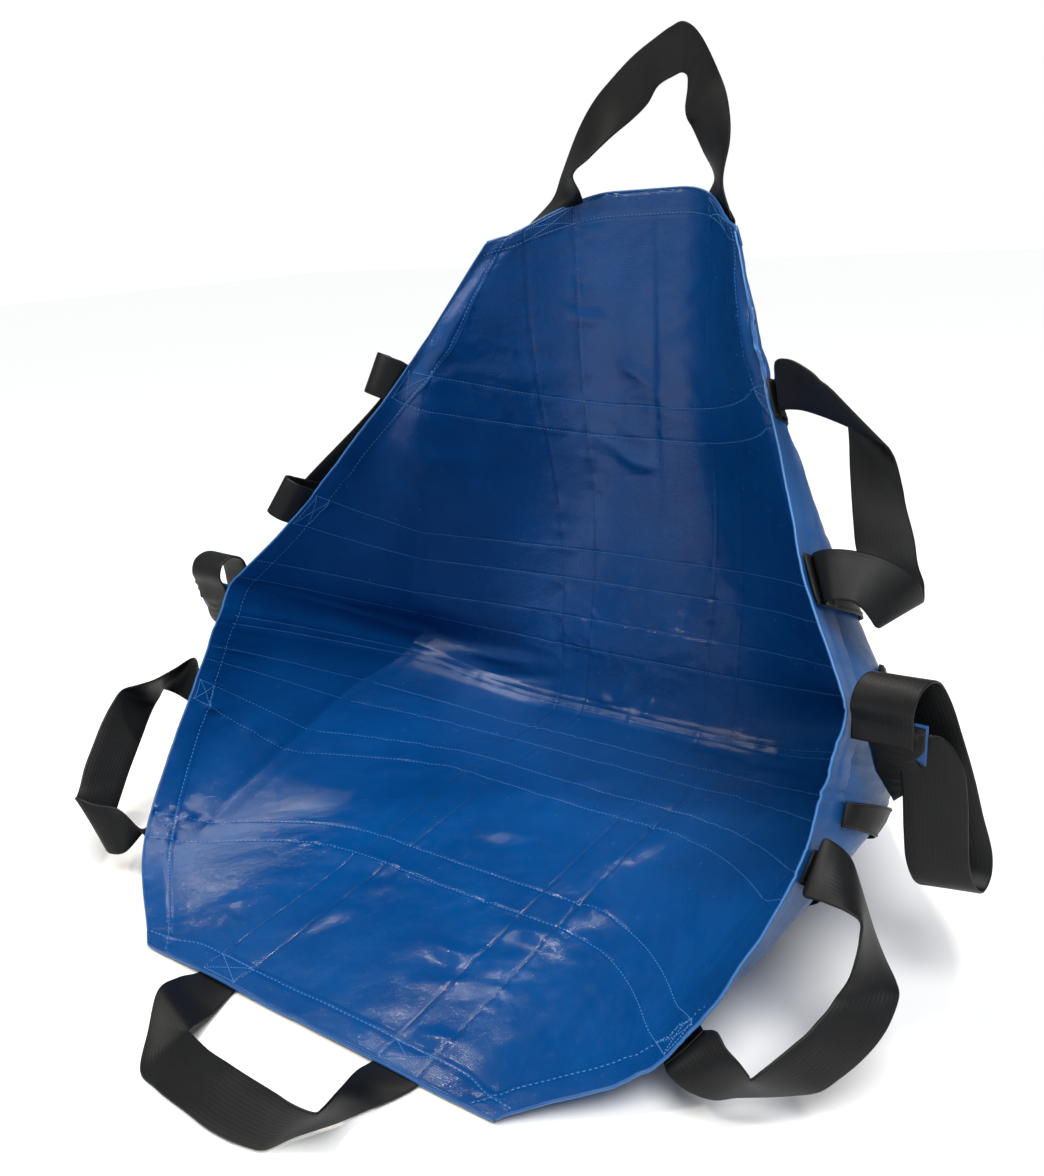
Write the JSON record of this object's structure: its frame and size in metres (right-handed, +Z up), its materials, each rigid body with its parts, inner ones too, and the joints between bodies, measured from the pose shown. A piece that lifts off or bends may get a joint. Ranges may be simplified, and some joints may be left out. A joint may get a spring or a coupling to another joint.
{
  "type": "patient carry seat",
  "caption": "Soft carry seat for moving a seated patient: coated sheet folded into a seat and back with hip tucks, reinforced by sewn webbing and fitted with webbing carry handles.",
  "frame": {"origin": "centre of the underside of the middle cross strap, on the floor", "axes": "+Z up, the front of the seat faces -Y, symmetric about X = 0. Names with right mean the +X side, as seen by someone facing the seat"},
  "size_m": [0.9264, 0.7735, 0.8064],
  "materials": {
    "coated_sheet": "glossy coated",
    "strap_webbing": "satin woven",
    "handle_webbing": "satin woven",
    "thread": "satin"
  },
  "bodies": {
    "seat": {"front_cross_strap": "strap_webbing", "front_hem": "coated_sheet", "front_stitching": "thread", "hip_front_cross_strap": "strap_webbing", "hip_seam_band": "coated_sheet", "hip_strap_front_left": "strap_webbing", "hip_strap_front_right": "strap_webbing", "hip_strap_rear_left": "strap_webbing", "hip_strap_rear_right": "strap_webbing", "hip_tuck_front_left": "coated_sheet", "hip_tuck_front_right": "coated_sheet", "hip_tuck_rear_left": "coated_sheet", "hip_tuck_rear_right": "coated_sheet", "lower_side_stitching_left": "thread", "lower_side_stitching_right": "thread", "middle_cross_strap": "strap_webbing", "seat_long_strap_left": "strap_webbing", "seat_long_strap_right": "strap_webbing", "seat_rim_hem_left": "coated_sheet", "seat_rim_hem_right": "coated_sheet", "seat_sheet": "coated_sheet"},
    "back": {"back_long_strap_left": "strap_webbing", "back_long_strap_right": "strap_webbing", "back_rim_hem_left": "coated_sheet", "back_rim_hem_right": "coated_sheet", "back_sheet": "coated_sheet", "hip_rear_cross_strap": "strap_webbing", "lower_back_cross_strap": "strap_webbing", "top_hem": "coated_sheet", "top_stitching": "thread", "upper_back_cross_strap": "strap_webbing", "upper_side_stitching_left": "thread", "upper_side_stitching_right": "thread"},
    "front_handle": {"front_handle": "handle_webbing"},
    "hip_handle_left": {"hip_handle_left": "handle_webbing"},
    "hip_handle_right": {"hip_handle_right": "handle_webbing"},
    "lower_side_handle_left": {"lower_side_handle_left": "handle_webbing"},
    "lower_side_handle_right": {"lower_side_handle_right": "handle_webbing"},
    "top_handle": {"top_handle": "handle_webbing"},
    "upper_side_handle_left": {"upper_side_handle_left": "handle_webbing"},
    "upper_side_handle_right": {"upper_side_handle_right": "handle_webbing"}
  },
  "joints": [
    {"name": "back_fold", "type": "hinge", "parent": "seat", "child": "back", "pos_m": [0, 0.05, 0.112], "axis": [-1, 0, 0], "range_deg": [-8, 15], "deforming": ["hip_seam_band"]},
    {"name": "front_handle_swing", "type": "hinge", "parent": "seat", "child": "front_handle", "pos_m": [0, -0.421, 0.0014], "axis": [-1, 0, 0], "range_deg": [0, 65]},
    {"name": "top_handle_swing", "type": "hinge", "parent": "back", "child": "top_handle", "pos_m": [0, 0.20028, 0.6316], "axis": [1, 0, 0], "range_deg": [-45, 60]},
    {"name": "lower_side_handle_right_swing", "type": "hinge", "parent": "seat", "child": "lower_side_handle_right", "pos_m": [0.3302, -0.27068, 0.09959], "axis": [0.283, 0.7242, 0.6288], "range_deg": [-85, 10]},
    {"name": "upper_side_handle_right_swing", "type": "hinge", "parent": "back", "child": "upper_side_handle_right", "pos_m": [0.26047, -0.01376, 0.39269], "axis": [-0.4185, 0.5437, 0.7274], "range_deg": [-75, 40]},
    {"name": "hip_handle_right_swing", "type": "hinge", "parent": "seat", "child": "hip_handle_right", "pos_m": [0.39, -0.135, 0.2512], "axis": [1, 0, 0], "range_deg": [0, 85]},
    {"name": "lower_side_handle_left_swing", "type": "hinge", "parent": "seat", "child": "lower_side_handle_left", "pos_m": [-0.3302, -0.27068, 0.09959], "axis": [0.283, -0.7242, -0.6288], "range_deg": [-85, 10]},
    {"name": "upper_side_handle_left_swing", "type": "hinge", "parent": "back", "child": "upper_side_handle_left", "pos_m": [-0.26047, -0.01376, 0.39269], "axis": [-0.4185, -0.5437, -0.7274], "range_deg": [-75, 15]},
    {"name": "hip_handle_left_swing", "type": "hinge", "parent": "seat", "child": "hip_handle_left", "pos_m": [-0.39, -0.135, 0.2512], "axis": [1, 0, 0], "range_deg": [0, 85]}
  ]
}
